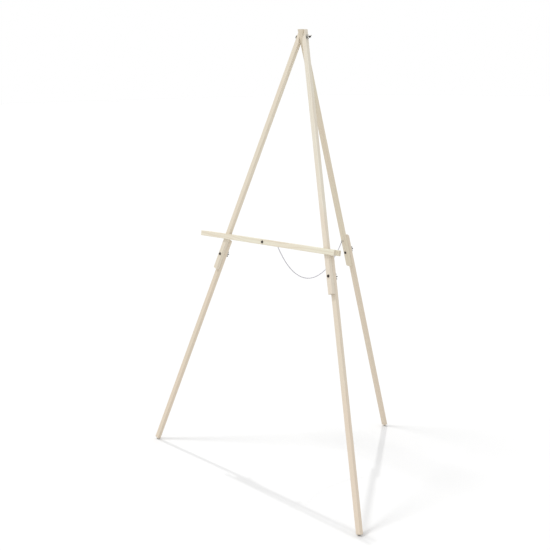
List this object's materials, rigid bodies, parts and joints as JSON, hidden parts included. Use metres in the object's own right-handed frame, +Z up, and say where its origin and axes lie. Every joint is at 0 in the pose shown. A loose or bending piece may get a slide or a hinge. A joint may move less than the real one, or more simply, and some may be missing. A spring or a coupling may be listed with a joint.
{
  "type": "tripod field easel",
  "caption": "Folding wooden tripod easel: two-piece legs clamped on bolts with wing nuts, a sliding clamped ledge for a canvas, and a stay chain to the rear leg.",
  "frame": {"origin": "on the floor, at the middle of the footprint of the three feet", "axes": "+Z up; +Y to the back, where the rear leg stands; +X to the right of someone who faces the front of the easel"},
  "size_m": [1.1302, 0.7849, 1.6049],
  "materials": {
    "upper_leg_pine": "bare planed softwood",
    "lower_leg_pine": "bare planed softwood",
    "ledge_pine": "bare planed softwood",
    "blackened_steel": "blackened, low sheen",
    "zinc_plated_steel": "zinc plated, satin",
    "chain_steel": "plated, satin",
    "glide_steel": "dull steel"
  },
  "bodies": {
    "front_frame": {"left_upper_leg": "upper_leg_pine", "right_upper_leg": "upper_leg_pine", "top_bolt": "blackened_steel", "top_head_washer": "zinc_plated_steel", "top_nut_washer": "zinc_plated_steel", "left_leg_bolt": "blackened_steel", "right_leg_bolt": "blackened_steel"},
    "rear_leg": {"rear_upper_leg": "upper_leg_pine", "rear_leg_bolt": "blackened_steel", "rear_screw_eye": "zinc_plated_steel", "chain_rear_run": "chain_steel"},
    "ledge": {"ledge_front_board": "ledge_pine", "ledge_back_board": "ledge_pine", "ledge_bolt": "blackened_steel", "ledge_washer": "zinc_plated_steel", "ledge_screw_eye": "zinc_plated_steel", "chain_ledge_run": "chain_steel"},
    "left_shank": {"left_lower_leg": "lower_leg_pine", "left_foot_glide": "glide_steel", "left_leg_washer": "zinc_plated_steel"},
    "right_shank": {"right_lower_leg": "lower_leg_pine", "right_foot_glide": "glide_steel", "right_leg_washer": "zinc_plated_steel"},
    "rear_shank": {"rear_lower_leg": "lower_leg_pine", "rear_foot_glide": "glide_steel", "rear_leg_washer": "zinc_plated_steel"},
    "top_nut": {"top_wing_nut": "zinc_plated_steel"},
    "left_nut": {"left_leg_wing_nut": "zinc_plated_steel"},
    "right_nut": {"right_leg_wing_nut": "zinc_plated_steel"},
    "rear_nut": {"rear_leg_wing_nut": "zinc_plated_steel"},
    "ledge_nut": {"ledge_wing_nut": "zinc_plated_steel"}
  },
  "joints": [
    {"name": "rear_leg_fold", "type": "hinge", "parent": "front_frame", "child": "rear_leg", "pos_m": [0, -0.0851, 1.5784], "axis": [-1, 0, 0], "range_deg": [-10, 23], "deforming": ["chain_ledge_run", "chain_rear_run"]},
    {"name": "ledge_slide", "type": "slide", "parent": "front_frame", "child": "ledge", "axis": [0, 0.1962, 0.9806], "range_m": [0, 0.25], "deforming": ["chain_ledge_run"]},
    {"name": "left_shank_swing", "type": "hinge", "parent": "front_frame", "child": "left_shank", "pos_m": [-0.28621, -0.24306, 0.78916], "axis": [0, 0.9806, -0.1962], "range_deg": [0, 90]},
    {"name": "right_shank_swing", "type": "hinge", "parent": "front_frame", "child": "right_shank", "pos_m": [0.28621, -0.24306, 0.78916], "axis": [0, -0.9806, 0.1962], "range_deg": [0, 90]},
    {"name": "rear_shank_swing", "type": "hinge", "parent": "rear_leg", "child": "rear_shank", "pos_m": [0, 0.14629, 0.78027], "axis": [0, 0.9605, 0.2784], "range_deg": [0, 180]},
    {"name": "top_nut_turn", "type": "hinge", "parent": "front_frame", "child": "top_nut", "pos_m": [0.02756, -0.0851, 1.5784], "axis": [1, 0, 0], "continuous": true},
    {"name": "left_nut_turn", "type": "hinge", "parent": "front_frame", "child": "left_nut", "pos_m": [-0.28621, -0.21997, 0.78454], "axis": [0, 0.9806, -0.1962], "continuous": true},
    {"name": "right_nut_turn", "type": "hinge", "parent": "front_frame", "child": "right_nut", "pos_m": [0.28621, -0.21997, 0.78454], "axis": [0, 0.9806, -0.1962], "continuous": true},
    {"name": "rear_nut_turn", "type": "hinge", "parent": "rear_leg", "child": "rear_nut", "pos_m": [0, 0.16891, 0.78682], "axis": [0, 0.9605, 0.2784], "continuous": true},
    {"name": "ledge_nut_turn", "type": "hinge", "parent": "ledge", "child": "ledge_nut", "pos_m": [-0.049, -0.21027, 0.85744], "axis": [0, 0.9806, -0.1962], "continuous": true}
  ]
}
